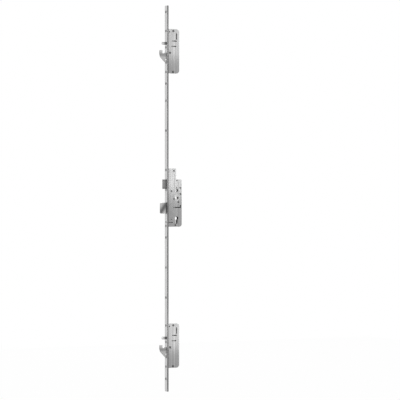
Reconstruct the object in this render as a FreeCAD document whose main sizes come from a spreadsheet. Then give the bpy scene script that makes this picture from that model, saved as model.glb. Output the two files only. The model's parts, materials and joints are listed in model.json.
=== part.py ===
import FreeCAD, Part
import math
import os
import re
import Sketcher

# Multipoint mortice lock, drawn locked, with everything thrown.
# Millimetres. +X goes into the door, +Y across the faceplate, +Z up.
# The origin is on the faceplate's front face, level with the follower's axis.

os.makedirs("parts", exist_ok=True)
doc = FreeCAD.newDocument("multipoint_lock")

# Driving dimensions

SIZES = {
    # faceplate, a U-section strip
    "strip_width": 24,
    "strip_depth": 7,
    "strip_sheet": 2.5,
    "strip_above": 866,
    "strip_below": 872,
    "strip_bend": 1,
    # clearances
    "fit": 0.05,
    "play": 0.2,
    "gap": 0.5,
    # drive rod behind the faceplate
    "rod_gap": 0.3,
    "rod_sheet": 2.4,
    "rod_width": 18,
    "stroke": 25.13,
    "rod_end": 61,
    "rod_tail": 49,
    "nose_height": 5,
    # sheet of the cases, and the layer in which the slides run
    "case_thick": 16,
    "case_sheet": 1.25,
    "case_front": 5.6,
    "slide_near": 3.4,
    "slide_far": 6.4,
    "blade_near": 5,
    "blade_far": 3,
    "drive_pin": 2.5,
    "drive_pin_reach": 3,
    "guide_pin": 2,
    # main case
    "main_depth": 76,
    "main_neck": 47.4,
    "main_step": 83,
    "main_above": 132.8,
    "main_below": 130,
    "main_corner": 12,
    "neck_corner": 4,
    "block_depth": 9,
    "block_height": 13,
    "main_screw": 126,
    "window": 7.5,
    "window_above": 34,
    "foot_window_left": 10,
    "foot_window_right": 31,
    "foot_window_top": 109.4,
    "foot_window_bottom": 112,
    # posts between tray and cover
    "post": 2.2,
    "small_post": 1.5,
    "neck_post_inset": 10.4,
    "step_post_in": 4.6,
    "step_post_drop": 3.6,
    "rear_post_inset": 6.5,
    "rear_post_high": 45,
    "rear_post_low": 17.5,
    "front_post_x": 23.8,
    "front_post_z": 31,
    "middle_post_x": 37,
    "middle_post_z": 4.5,
    "inner_post_back": 9.5,
    "inner_post_z": 18,
    "foot_post_x": 43.7,
    "foot_post_inset": 7.5,
    # follower and profile cylinder
    "backset": 50,
    "cylinder_drop": 92,
    "cylinder_bore": 8.5,
    "cylinder_web": 5,
    "cylinder_height": 33,
    "follower_square": 8,
    "follower_journal": 9.4,
    "follower_hub": 10.2,
    "follower_recess": 7.5,
    "follower_recess_depth": 5,
    "arm_length": 36,
    "arm_start": 106,
    "arm_nose": 3.5,
    "arm_root": 5,
    "arm_half": 3,
    # latch
    "latch_throw": 20,
    "latch_bottom": 40.3,
    "latch_top": 82.8,
    "latch_rear": 12,
    "latch_half": 6,
    "latch_nose": 1.6,
    "latch_edge": 0.7,
    "latch_shoulder": 2,
    "tail_bottom": 52,
    "tail_top": 62,
    "tail_round": 2,
    "lug_bottom": 31.5,
    "lug_width": 3.5,
    "spring_height": 70,
    "spring_radius": 3.5,
    "spring_wire": 0.5,
    "spring_turns": 4,
    "spring_end": 44.5,
    "stop_half": 4,
    "stop_sheet": 2.5,
    # deadbolt
    "bolt_throw": 28,
    "bolt_bottom": 70.7,
    "bolt_top": 21.8,
    "bolt_half": 6,
    "bolt_corner": 6,
    "bolt_tail": 41,
    "bolt_step": 3.5,
    "bolt_guide_x": 36,
    "bolt_guide_z": 42.8,
    "guide_leg_inset": 6.5,
    "guide_leg_top": 32,
    "bolt_pin_x": 34,
    "bolt_pin_z": 60,
    "hard_pin": 2,
    "hard_pin_inset": 12,
    "blind_wall": 1,
    # main slide
    "slide_left": 30.5,
    "slide_right": 37,
    "slide_top": 55,
    "slide_bottom": 120,
    "foot_top": 98,
    "foot_bottom": 107,
    "foot_round": 2,
    "nose_level": 102,
    "notch_depth": 4,
    "notch_height": 9,
    # side boxes, in heights from each box's middle
    "upper_level": 661,
    "lower_level": -666,
    "box_half": 100,
    "box_depth": 63,
    "box_corner": 14,
    "box_screw_top": 91,
    "box_screw_bottom": 94,
    "box_nose": 55,
    "upper_post_x": 33.5,
    "upper_post_z": 91.5,
    "lower_post_x": 31.4,
    "lower_post_z": 93,
    "arm_bottom": 50,
    "arm_top": 60,
    "arm_end": 54,
    "arm_round": 3,
    "arm_pin_x": 50,
    "arm_pin_z": 54,
    "rack_top": 17,
    "rack_spine": 8.5,
    "module": 2,
    # hook, in lengths from its pivot
    "hook_x": 17,
    "hook_z": 7,
    "hook_pin": 4,
    "hook_hub": 10,
    "hook_reach": 49.5,
    "hook_tip": 10.5,
    "hook_tip_round": 1.5,
    "mouth_outer": 37,
    "mouth_inner": 25,
    "mouth_floor": 3.5,
    "mouth_round": 3,
    "mouth_lip_round": 2,
    "heel_x": 23.5,
    "heel_z": 42.8,
    "heel_rise": 15,
    "heel_inner_x": 9,
    "heel_inner_z": 38,
    "heel_round": 8,
    "hook_root": 7,
    "hook_hole": 3.2,
    "hook_hole_x": 19,
    "hook_hole_z": 31.7,
    # round bolt and its carriage
    "round_bolt": 6.5,
    "round_throw": 20,
    "round_z": 35,
    "tenon_half": 3,
    "tenon_length": 8,
    "carriage_front": 10,
    "carriage_rear": 40.5,
    "carriage_bottom": 19,
    "carriage_top": 52,
    "carriage_cut": 9,
    "slide_pin_inset": 5,
    "slide_pin_z": 23,
    "high_guide_x": 29,
    "high_guide_z": 46,
    "low_guide_x": 26,
    "low_guide_z": 22,
    # holes in the faceplate
    "fixing_hole": 2.4,
    "fixing_head": 4.6,
    "case_screw": 2,
    "case_screw_head": 4.4,
    "case_screw_length": 13,
    "cylinder_screw": 2.5,
    "cylinder_screw_z": 110,
    "cylinder_screw_head": 4.7,
    "cylinder_screw_end": 44,
    "block_nose": 2.7,
    "guide_rivet": 1.5,
    "guide_boss": 3,
    # the heights of the door's fixing screws and of the rod guides
    "fixing_one": 838,
    "fixing_two": 515,
    "fixing_three": 303,
    "fixing_four": -178.6,
    "fixing_five": -449,
    "fixing_six": -815,
    "guide_one": 438,
    "guide_two": -313.7,
}

sheet = doc.addObject("Spreadsheet::Sheet", "sizes")
for row, (alias, number) in enumerate(SIZES.items(), 1):
    sheet.set(f"A{row}", alias)
    sheet.set(f"B{row}", str(number))
    sheet.setAlias(f"B{row}", alias)
doc.recompute()


def bound(text):
    """A size formula, with each name pointing at its cell of the sheet."""
    def cell(match):
        word = match.group()
        return "sizes." + word if word in SIZES else word
    return re.sub(r"[a-z_]+", cell, str(text))


def value(text):
    return float(sheet.evalExpression(bound(text)))


# Places worked out from the driving dimensions

INNER = "(case_thick / 2 - case_sheet)"
OUTER = "(case_thick / 2)"
WEB_BACK = "strip_sheet"
ROD_FRONT = "(strip_sheet + rod_gap)"
ROD_BACK = "(strip_sheet + rod_gap + rod_sheet)"
LUG_LEFT = "(backset + arm_length * cos(arm_start) + arm_nose + play)"
FIXINGS = ["fixing_one", "fixing_two", "fixing_three", "fixing_four", "fixing_five", "fixing_six"]
GUIDES = ["guide_one", "guide_two"]
BOX_LEVELS = {"upper": "upper_level", "lower": "lower_level"}
CASE_SCREWS = [
    "main_screw",
    "-main_screw",
    "(upper_level + box_screw_top)",
    "(upper_level - box_screw_bottom)",
    "(lower_level + box_screw_top)",
    "(lower_level - box_screw_bottom)",
]
# the rod has a slot for each of these screws; the topmost and the lowest lie beyond its ends
ROD_SCREWS = ["main_screw", "(upper_level - box_screw_bottom)", "(lower_level + box_screw_top)"]
ROD_FIXINGS = FIXINGS[1:5]

# The rack of a side box turns its hook by this many degrees in one stroke, which is four teeth.
HOOK_TURN = 90
TEETH_IN_STROKE = 4
RACK_TEETH = 6
HOOK_TEETH = 5
PITCH = f"(stroke / {TEETH_IN_STROKE})"
PITCH_RADIUS = f"(stroke / {math.radians(HOOK_TURN)})"
RACK_PITCH = f"(hook_x + {PITCH_RADIUS})"
RACK_BACK = f"({RACK_PITCH} + rack_spine)"
SLIDE_PIN_X = f"({RACK_BACK} - slide_pin_inset)"
# tooth forms, as shares of the pitch and of the module
RACK_ROOT = 0.37
HOOK_ROOT = 0.33
TOOTH_TIP = 0.1
DEDENDUM = 1.25
HOOK_TOOTH_DEPTH = 1.6


# Sketch helpers

def new_body(label):
    body = doc.addObject("PartDesign::Body", label)
    body.Label = label
    body.AllowCompound = True
    return body


def sketch_on(body, role, height):
    """A sketch on one of the body's origin planes, moved along the plane's normal."""
    plane = next(o for o in body.Origin.OriginFeatures if o.Role == role)
    sketch = body.newObject("Sketcher::SketchObject", "Sketch")
    sketch.AttachmentSupport = [(plane, "")]
    sketch.MapMode = "FlatFace"
    sketch.setExpression("AttachmentOffset.Base.z", bound(height))
    return sketch


def side_sketch(body, across):
    """A sketch seen from the side, in X and Z, at a given Y. Its normal is -Y."""
    return sketch_on(body, "XZ_Plane", f"-({across})")


def front_sketch(body, depth):
    """A sketch seen from the front, in Y and Z, at a given X. Its normal is +X."""
    return sketch_on(body, "YZ_Plane", depth)


def top_sketch(body, height):
    """A sketch seen from above, in X and Y, at a given Z. Its normal is +Z."""
    return sketch_on(body, "XY_Plane", height)


def constrain(sketch, text, *constraint):
    index = sketch.addConstraint(Sketcher.Constraint(*constraint, value(text)))
    sketch.setExpression(f"Constraints[{index}]", bound(text))


def fix_point(sketch, geometry, end, x, y):
    constrain(sketch, x, "DistanceX", -1, 1, geometry, end)
    constrain(sketch, y, "DistanceY", -1, 1, geometry, end)


def circle(sketch, x, y, radius):
    centre = FreeCAD.Vector(value(x), value(y), 0)
    geometry = sketch.addGeometry(Part.Circle(centre, FreeCAD.Vector(0, 0, 1), value(radius)))
    fix_point(sketch, geometry, 3, x, y)
    constrain(sketch, radius, "Radius", geometry)


def slot(sketch, start, end, radius):
    """A slot with round ends about two centres."""
    a = FreeCAD.Vector(value(start[0]), value(start[1]), 0)
    b = FreeCAD.Vector(value(end[0]), value(end[1]), 0)
    r = value(radius)
    turn = math.atan2(b.y - a.y, b.x - a.x)
    side = FreeCAD.Vector(-math.sin(turn), math.cos(turn), 0) * r
    up = FreeCAD.Vector(0, 0, 1)
    quarter = math.pi / 2
    first = Part.ArcOfCircle(Part.Circle(a, up, r), turn + quarter, turn + 3 * quarter)
    last = Part.ArcOfCircle(Part.Circle(b, up, r), turn - quarter, turn + quarter)
    arc_a = sketch.addGeometry(first)
    arc_b = sketch.addGeometry(last)
    low = sketch.addGeometry(Part.LineSegment(a - side, b - side))
    high = sketch.addGeometry(Part.LineSegment(b + side, a + side))
    sketch.addConstraint([
        Sketcher.Constraint("Tangent", arc_a, 2, low, 1),
        Sketcher.Constraint("Tangent", low, 2, arc_b, 1),
        Sketcher.Constraint("Tangent", arc_b, 2, high, 1),
        Sketcher.Constraint("Tangent", high, 2, arc_a, 1),
    ])
    fix_point(sketch, arc_a, 3, *start)
    fix_point(sketch, arc_b, 3, *end)
    constrain(sketch, radius, "Radius", arc_a)


def corner_arc(before, corner, after, radius):
    """Where a corner of this radius leaves and meets its two runs, with the arc between."""
    back = (before - corner).normalize()
    ahead = (after - corner).normalize()
    half = back.getAngle(ahead) / 2
    leave = corner + back * (radius / math.tan(half))
    meet = corner + ahead * (radius / math.tan(half))
    centre = corner + (back + ahead).normalize() * (radius / math.sin(half))
    left_turn = back.cross(ahead).z < 0
    first, last = (leave, meet) if left_turn else (meet, leave)
    start = math.atan2(first.y - centre.y, first.x - centre.x)
    end = math.atan2(last.y - centre.y, last.x - centre.x)
    ring = Part.Circle(centre, FreeCAD.Vector(0, 0, 1), radius)
    return leave, meet, Part.ArcOfCircle(ring, start, end), left_turn


def outline(sketch, corners):
    """A closed outline of straight runs. A corner (x, y, radius) is rounded."""
    count = len(corners)
    places = [FreeCAD.Vector(value(c[0]), value(c[1]), 0) for c in corners]
    arcs = {}
    for i, corner in enumerate(corners):
        if len(corner) > 2:
            arcs[i] = corner_arc(places[i - 1], places[i], places[(i + 1) % count], value(corner[2]))
    lines = []
    for i in range(count):
        j = (i + 1) % count
        start = arcs[i][1] if i in arcs else places[i]
        end = arcs[j][0] if j in arcs else places[j]
        lines.append(sketch.addGeometry(Part.LineSegment(start, end)))
    for i, corner in enumerate(corners):
        before, after = lines[i - 1], lines[i]
        if i not in arcs:
            sketch.addConstraint(Sketcher.Constraint("Coincident", before, 2, after, 1))
            fix_point(sketch, after, 1, corner[0], corner[1])
            continue
        mark = sketch.addGeometry(Part.Point(places[i]), True)
        arc = sketch.addGeometry(arcs[i][2])
        first, last = (1, 2) if arcs[i][3] else (2, 1)
        sketch.addConstraint([
            Sketcher.Constraint("PointOnObject", mark, 1, before),
            Sketcher.Constraint("PointOnObject", mark, 1, after),
            Sketcher.Constraint("Tangent", before, 2, arc, first),
            Sketcher.Constraint("Tangent", arc, last, after, 1),
        ])
        fix_point(sketch, mark, 1, corner[0], corner[1])
        constrain(sketch, corner[2], "Radius", arc)


def rectangle(sketch, left, bottom, right, top):
    outline(sketch, [(left, bottom), (right, bottom), (right, top), (left, top)])


def square(sketch, low, high, half):
    """A window midway across the faceplate, this far past two heights and to each side."""
    rectangle(sketch, f"-({half})", f"{low} - ({half})", half, f"{high} + ({half})")


def pad(body, sketch, length):
    feature = body.newObject("PartDesign::Pad", "Pad")
    feature.Profile = sketch
    feature.setExpression("Length", bound(length))
    return feature


def pocket(body, sketch, length):
    """Cuts against the sketch's normal, so the sketch lies on the face where the cut ends."""
    feature = body.newObject("PartDesign::Pocket", "Pocket")
    feature.Profile = sketch
    feature.setExpression("Length", bound(length))
    return feature


def side_pad(body, near, far):
    """Starts a pad seen from the side, between two places across the lock."""
    return side_sketch(body, far), f"({far}) - ({near})"


def side_cut(body, near, far):
    return side_sketch(body, near), f"({far}) - ({near})"


def chamfer_rims(body, feature, depth, radii, size):
    """Countersinks the round rims of these radii that lie at one depth."""
    doc.recompute()
    names = []
    for index, edge in enumerate(feature.Shape.Edges, 1):
        round_rim = isinstance(edge.Curve, Part.Circle)
        if round_rim and abs(edge.CenterOfMass.x - depth) < 1e-3 and edge.BoundBox.XLength < 1e-3:
            if any(abs(edge.Curve.Radius - radius) < 1e-3 for radius in radii):
                names.append(f"Edge{index}")
    cut = body.newObject("PartDesign::Chamfer", "Countersink")
    cut.Base = (feature, names)
    cut.setExpression("Size", bound(size))
    return cut


def cross_pin(label, x, z, near, far, radius):
    """A plain pin across the lock."""
    pin = doc.addObject("Part::Cylinder", label)
    pin.Label = label
    pin.Placement.Rotation = FreeCAD.Rotation(FreeCAD.Vector(1, 0, 0), -90)
    pin.setExpression("Radius", bound(radius))
    pin.setExpression("Height", bound(f"({far}) - ({near})"))
    pin.setExpression("Placement.Base.x", bound(x))
    pin.setExpression("Placement.Base.y", bound(near))
    pin.setExpression("Placement.Base.z", bound(z))
    return pin


def group(label, pieces):
    """Separate like pieces kept as one sub-part."""
    if len(pieces) == 1:
        pieces[0].Label = label
        return pieces[0]
    joined = doc.addObject("Part::Compound", label)
    joined.Label = label
    joined.Links = pieces
    return joined


# Faceplate

def faceplate():
    body = new_body("faceplate")
    half = "strip_width / 2"
    inner = "(strip_width / 2 - strip_sheet)"
    section = top_sketch(body, "-strip_below")
    outline(section, [
        ("0", f"-{half}", "strip_bend"), ("strip_depth", f"-{half}"), ("strip_depth", f"-{inner}"),
        ("strip_sheet", f"-{inner}"), ("strip_sheet", inner), ("strip_depth", inner),
        ("strip_depth", half), ("0", half, "strip_bend"),
    ])
    pad(body, section, "strip_above + strip_below")

    cuts = front_sketch(body, WEB_BACK)
    rectangle(cuts, "-latch_half - gap", "latch_bottom - gap", "latch_half + gap", "latch_top + gap")
    rectangle(cuts, "-bolt_half - gap", "-bolt_bottom - gap", "bolt_half + gap", "-bolt_top + gap")
    for level in BOX_LEVELS.values():
        circle(cuts, "0", f"{level} + round_z", "round_bolt + play")
        rectangle(cuts, "-blade_near - gap", f"{level} - hook_z - hook_reach + play",
                  "blade_far + gap", f"{level} - hook_z + 2 * gap")
    pocket(body, cuts, "strip_sheet")

    holes = front_sketch(body, WEB_BACK)
    for height in FIXINGS:
        circle(holes, "0", height, "fixing_hole")
    for height in CASE_SCREWS:
        circle(holes, "0", height, "case_screw + play / 2")
    for height in GUIDES:
        circle(holes, "0", height, "guide_rivet")
    circle(holes, "0", "-cylinder_screw_z", "cylinder_screw + fit")
    last = pocket(body, holes, "strip_sheet")
    last = chamfer_rims(body, last, 0, [value("fixing_hole")], "fixing_head - fixing_hole")
    last = chamfer_rims(body, last, 0, [value("case_screw + play / 2")],
                        "case_screw_head - case_screw - play / 2")
    chamfer_rims(body, last, 0, [value("cylinder_screw + fit")],
                 "cylinder_screw_head - cylinder_screw - fit")
    return body


def countersunk_screw(label, height, shank, head, end):
    """A screw with its head flush in the faceplate's front."""
    cone = doc.addObject("Part::Cone", "Head")
    cone.setExpression("Radius1", bound(head))
    cone.setExpression("Radius2", bound(shank))
    cone.setExpression("Height", bound(f"{head} - {shank}"))
    shaft = doc.addObject("Part::Cylinder", "Shank")
    shaft.setExpression("Radius", bound(shank))
    shaft.setExpression("Height", bound(end))
    for piece in (cone, shaft):
        piece.Placement.Rotation = FreeCAD.Rotation(FreeCAD.Vector(0, 1, 0), 90)
        piece.setExpression("Placement.Base.z", bound(height))
    screw = doc.addObject("Part::Fuse", label)
    screw.Label = label
    screw.Base = cone
    screw.Tool = shaft
    return screw


def screws():
    case_screws = [
        countersunk_screw("case_screw_piece", height, "case_screw", "case_screw_head", "case_screw_length")
        for height in CASE_SCREWS
    ]
    cylinder_screw = countersunk_screw(
        "cylinder_fixing_screw", "-cylinder_screw_z", "cylinder_screw", "cylinder_screw_head",
        "cylinder_screw_end")
    return [group("case_screws", case_screws), cylinder_screw]


def rod_guides():
    """Plates behind the rod, each with a boss through the rod's slot and a rivet to the faceplate."""
    body = new_body("rod_guides")
    bosses = front_sketch(body, WEB_BACK)
    for height in GUIDES:
        square(bosses, height, height, "guide_boss")
    pad(body, bosses, f"{ROD_BACK} + play - strip_sheet")
    plates = front_sketch(body, f"{ROD_BACK} + play")
    for height in GUIDES:
        rectangle(plates, "-rod_width / 2", f"{height} - strip_depth", "rod_width / 2",
                  f"{height} + strip_depth")
    pad(body, plates, "case_sheet")
    bores = front_sketch(body, f"{ROD_BACK} + play + case_sheet")
    for height in GUIDES:
        circle(bores, "0", height, "guide_rivet")
    pocket(body, bores, f"{ROD_BACK} + play + case_sheet - strip_sheet")

    rivets = new_body("guide_rivets")
    shanks = front_sketch(rivets, "0")
    for height in GUIDES:
        circle(shanks, "0", height, "guide_rivet")
    pad(rivets, shanks, f"{ROD_BACK} + play + case_sheet")
    return [body, rivets]


# Drive rod

def drive_rod():
    body = new_body("drive_rod")
    plate = front_sketch(body, ROD_FRONT)
    rectangle(plate, "-rod_width / 2", "lower_level + rod_tail", "rod_width / 2", "upper_level + rod_end")
    pad(body, plate, "rod_sheet")

    cuts = front_sketch(body, ROD_BACK)
    rectangle(cuts, "-latch_half - gap", "latch_bottom - gap - stroke", "latch_half + gap",
              "latch_top + gap")
    rectangle(cuts, "-bolt_half - gap", "-bolt_bottom - gap - stroke", "bolt_half + gap",
              "-bolt_top + gap")
    rectangle(cuts, "-blade_near - gap", "upper_level - hook_z - hook_reach - stroke",
              "blade_far + gap", "upper_level - hook_z + 3 * gap")
    rectangle(cuts, "-round_bolt - gap", "upper_level + round_z - round_bolt - gap - stroke",
              "round_bolt + gap", "upper_level + round_z + round_bolt + gap")
    for level in ("-nose_level", "upper_level + box_nose", "lower_level + box_nose"):
        rectangle(cuts, "slide_near", f"{level} - nose_height / 2", "slide_far",
                  f"{level} + nose_height / 2")
    pocket(body, cuts, "rod_sheet")

    slots = front_sketch(body, ROD_BACK)
    for height in ROD_FIXINGS:
        square(slots, f"{height} - stroke", height, "fixing_hole + gap")
    for height in GUIDES:
        square(slots, f"{height} - stroke", height, "guide_boss + play")
    for height in ROD_SCREWS:
        square(slots, f"{height} - stroke", height, "block_nose + gap")
    # one slot for the cylinder's screw and the main case's lower screw
    square(slots, "-main_screw - stroke", "-cylinder_screw_z", "block_nose + gap")
    pocket(body, slots, "rod_sheet")
    return body


# Cases: a tray with a rim, its cover, posts and front blocks

def case_shell(prefix, corners, inner_corners):
    """A far plate with a rim on all sides but the front, and a flat cover on its near side."""
    tray = new_body(f"{prefix}_tray")
    sketch, length = side_pad(tray, f"-{INNER}", OUTER)
    outline(sketch, corners)
    pad(tray, sketch, length)
    sketch, length = side_cut(tray, f"-{INNER}", INNER)
    outline(sketch, inner_corners)
    pocket(tray, sketch, length)

    cover = new_body(f"{prefix}_cover")
    sketch, length = side_pad(cover, f"-{OUTER}", f"-{INNER}")
    outline(sketch, corners)
    pad(cover, sketch, length)
    return tray, cover


def through_cut(body, near, far, draw):
    sketch, length = side_cut(body, near, far)
    draw(sketch)
    return pocket(body, sketch, length)


def posts(label, places):
    """Posts that stand on the tray and are riveted over in the cover's holes."""
    body = new_body(label)
    sketch, length = side_pad(body, f"-{OUTER}", INNER)
    for place in places:
        circle(sketch, *place)
    pad(body, sketch, length)
    return body


def post_holes(places):
    def draw(sketch):
        for place in places:
            circle(sketch, *place)
    return draw


def front_blocks(label, spans):
    """Threaded blocks at the front of a case, each with a nose that meets the faceplate."""
    body = new_body(label)
    sketch, length = side_pad(body, f"-{INNER}", INNER)
    for bottom, top, height in spans:
        rectangle(sketch, "case_front", bottom, "case_front + block_depth", top)
    pad(body, sketch, length)
    noses = front_sketch(body, WEB_BACK)
    for bottom, top, height in spans:
        square(noses, height, height, "block_nose")
    pad(body, noses, "case_front - strip_sheet")
    bores = front_sketch(body, "case_front + block_depth")
    for bottom, top, height in spans:
        circle(bores, "0", height, "case_screw")
    pocket(body, bores, "case_front + block_depth - strip_sheet")
    return body


# Main case

MAIN_POSTS = [
    ("main_neck - neck_post_inset", "main_above - neck_post_inset", "post"),
    ("main_neck + step_post_in", "main_step - step_post_drop", "small_post"),
    ("main_depth - rear_post_inset", "rear_post_high", "small_post"),
    ("main_depth - rear_post_inset", "rear_post_low", "small_post"),
    ("backset + inner_post_back", "-inner_post_z", "small_post"),
    ("front_post_x", "front_post_z", "small_post"),
    ("middle_post_x", "-middle_post_z", "post"),
    ("foot_post_x", "-main_below + foot_post_inset", "post"),
]


def main_case():
    corners = [
        ("case_front", "-main_below"), ("main_depth", "-main_below", "main_corner"),
        ("main_depth", "main_step", "neck_corner"), ("main_neck", "main_step", "neck_corner / 2"),
        ("main_neck", "main_above", "neck_corner"), ("case_front", "main_above"),
    ]
    wall = "case_sheet"
    inner = [
        (f"case_front - {wall}", f"-main_below + {wall}"),
        (f"main_depth - {wall}", f"-main_below + {wall}", f"main_corner - {wall}"),
        (f"main_depth - {wall}", f"main_step - {wall}", f"neck_corner - {wall}"),
        (f"main_neck - {wall}", f"main_step - {wall}", f"neck_corner / 2 + {wall}"),
        (f"main_neck - {wall}", f"main_above - {wall}", f"neck_corner - {wall}"),
        (f"case_front - {wall}", f"main_above - {wall}"),
    ]
    tray, cover = case_shell("main_case", corners, inner)

    def round_openings(sketch):
        circle(sketch, "backset", "-cylinder_drop", "cylinder_bore")
        circle(sketch, "backset", "0", "follower_journal + fit")
        circle(sketch, "backset", "window_above", "window")

    def cylinder_web(sketch):
        slot(sketch, ("backset", "-cylinder_drop"),
             ("backset", "-cylinder_drop + cylinder_bore - cylinder_height + cylinder_web"),
             "cylinder_web")

    for shell, near, far in ((tray, INNER, OUTER), (cover, f"-{OUTER}", f"-{INNER}")):
        through_cut(shell, near, far, round_openings)
        through_cut(shell, near, far, cylinder_web)
    through_cut(cover, f"-{OUTER}", f"-{INNER}", post_holes(MAIN_POSTS))
    through_cut(cover, f"-{OUTER}", f"-{INNER}", lambda sketch: rectangle(
        sketch, "foot_window_left", "-foot_window_bottom", "foot_window_right", "-foot_window_top"))

    # the deadbolt's guide slot runs on behind the bolt's travel and turns up
    def guide_slot(sketch):
        slot(sketch, ("bolt_guide_x - fit", "-bolt_guide_z"),
             ("bolt_guide_x + bolt_throw + fit", "-bolt_guide_z"), "guide_pin + play")

    def guide_leg(sketch):
        half = "(guide_pin + play)"
        start = "bolt_guide_x + bolt_throw"
        leg = "main_depth - guide_leg_inset"
        outline(sketch, [
            (start, f"-bolt_guide_z - {half}"), (f"{leg} + {half}", f"-bolt_guide_z - {half}"),
            (f"{leg} + {half}", "-guide_leg_top"), (f"{leg} - {half}", "-guide_leg_top"),
            (f"{leg} - {half}", f"-bolt_guide_z + {half}"), (start, f"-bolt_guide_z + {half}"),
        ])

    for draw in (guide_slot, guide_leg):
        through_cut(cover, f"-{OUTER}", f"-{INNER}", draw)

    blocks = front_blocks("main_case_blocks", [
        (f"-main_below + {wall}", f"-main_below + {wall} + block_height", "-main_screw"),
        (f"main_above - {wall} - block_height", f"main_above - {wall}", "main_screw"),
    ])
    return [tray, cover, posts("main_case_posts", MAIN_POSTS), blocks]


def latch():
    bolt = new_body("latch_bolt")
    section = top_sketch(bolt, "latch_bottom")
    outline(section, [
        ("-latch_throw", "-latch_half", "latch_edge"), ("latch_rear", "-latch_half"),
        ("latch_rear", "latch_half"), ("-latch_shoulder", "latch_half"),
        ("-latch_throw", "-latch_half + 2 * latch_nose", "latch_edge"),
    ])
    pad(bolt, section, "latch_top - latch_bottom")

    tail = new_body("latch_tail")
    sketch, length = side_pad(tail, "-arm_half", "arm_half")
    right = f"({LUG_LEFT} + lug_width)"
    outline(sketch, [
        ("latch_rear", "tail_bottom"), (LUG_LEFT, "tail_bottom", "tail_round"), (LUG_LEFT, "lug_bottom"),
        (right, "lug_bottom"), (right, "tail_top", "tail_round"), ("latch_rear", "tail_top"),
    ])
    pad(tail, sketch, length)

    stop = new_body("latch_spring_stop")
    sketch, length = side_pad(stop, f"-{INNER}", INNER)
    rectangle(sketch, "spring_end", "spring_height - stop_half", "spring_end + stop_sheet",
              "spring_height + stop_half")
    pad(stop, sketch, length)
    return [bolt, tail, stop]


def tangent_arc(start, corner, end):
    """The arc that touches start to corner and corner to end, two runs of one length."""
    middle = (start + end) / 2
    run = start.distanceToPoint(corner)
    inward = middle.distanceToPoint(corner)
    radius = run * start.distanceToPoint(middle) / inward
    top = corner + (middle - corner).normalize() * (run ** 2 / inward - radius)
    return Part.Arc(start, top, end)


def coil_path(radius, rise, turns):
    """A helix about Z as pairs of tangent arcs, a pair to each quarter turn."""
    steps = round(4 * turns)
    slope = rise / turns / (2 * math.pi)
    arcs = []
    for step in range(steps):
        ends = []
        for turn in (step * math.pi / 2, (step + 1) * math.pi / 2):
            place = FreeCAD.Vector(radius * math.cos(turn), radius * math.sin(turn), slope * turn)
            heading = FreeCAD.Vector(-radius * math.sin(turn), radius * math.cos(turn), slope)
            ends.append((place, heading.normalize()))
        (start, out), (end, back) = ends
        gap = end - start
        spread = 2 * (1 - out.dot(back))
        along = gap.dot(out + back)
        run = (math.sqrt(along ** 2 + spread * gap.dot(gap)) - along) / spread
        first = start + out * run
        last = end - back * run
        meet = (first + last) / 2
        arcs += [tangent_arc(start, first, meet), tangent_arc(meet, last, end)]
    return Part.Wire([arc.toShape() for arc in arcs])


def latch_spring():
    """A compression spring of square wire between the latch head and its stop, one unbroken coil."""
    length = value("spring_end - latch_rear")
    half = value("spring_wire")
    turns = value("spring_turns")
    radius = value("spring_radius")
    rise = length - 2 * half - 2 * value("fit")
    path = coil_path(radius, rise, turns)
    start = FreeCAD.Vector(radius, 0, 0)
    outward = FreeCAD.Vector(1, 0, 0)
    heading = FreeCAD.Vector(0, radius, rise / turns / (2 * math.pi)).normalize()
    across = outward.cross(heading)
    corners = [start + outward * (x * half) + across * (z * half)
               for x, z in ((-1, -1), (1, -1), (1, 1), (-1, 1), (-1, -1))]
    coil = path.makePipeShell([Part.makePolygon(corners)], True, False)
    print("latch spring: least gap between turns", round(rise / turns - 2 * half, 2))
    spring = doc.addObject("Part::Feature", "latch_spring")
    spring.Label = "latch_spring"
    spring.Shape = coil
    spring.Placement = FreeCAD.Placement(
        FreeCAD.Vector(value("latch_rear") + half + value("fit"), 0, value("spring_height")),
        FreeCAD.Rotation(FreeCAD.Vector(0, 1, 0), 90))
    return spring


def follower():
    body = new_body("follower")
    sketch, length = side_pad(body, f"-{OUTER}", OUTER)
    circle(sketch, "backset", "0", "follower_journal")
    pad(body, sketch, length)
    sketch, length = side_pad(body, f"-{INNER} + play", f"{INNER} - play")
    circle(sketch, "backset", "0", "follower_hub")
    pad(body, sketch, length)
    sketch, length = side_pad(body, "-arm_half", "arm_half")

    def arm_point(along, aside):
        x = f"backset + {along} * cos(arm_start) - {aside} * sin(arm_start)"
        z = f"{along} * sin(arm_start) + {aside} * cos(arm_start)"
        return x, z

    outline(sketch, [
        arm_point("0", "-arm_root"), arm_point("arm_length", "-0.5 * arm_nose"),
        arm_point("arm_length", "0.5 * arm_nose"), arm_point("0", "arm_root"),
    ])
    pad(body, sketch, length)
    sketch, length = side_pad(body, "-arm_half", "arm_half")
    tip = arm_point("arm_length", "0")
    circle(sketch, tip[0], tip[1], "arm_nose")
    pad(body, sketch, length)
    # a round recess from each side leads to the square for the spindle
    depth = "follower_recess_depth"
    for near, far in ((f"-{OUTER}", f"-{OUTER} + {depth}"), (f"{OUTER} - {depth}", OUTER)):
        through_cut(body, near, far, lambda sketch: circle(sketch, "backset", "0", "follower_recess"))
    half = "follower_square / 2"
    through_cut(body, f"-{OUTER}", OUTER, lambda sketch: rectangle(
        sketch, f"backset - {half}", f"-{half}", f"backset + {half}", half))
    return body


HARD_PINS = ["-bolt_bottom + hard_pin_inset", "-bolt_top - hard_pin_inset"]


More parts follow.
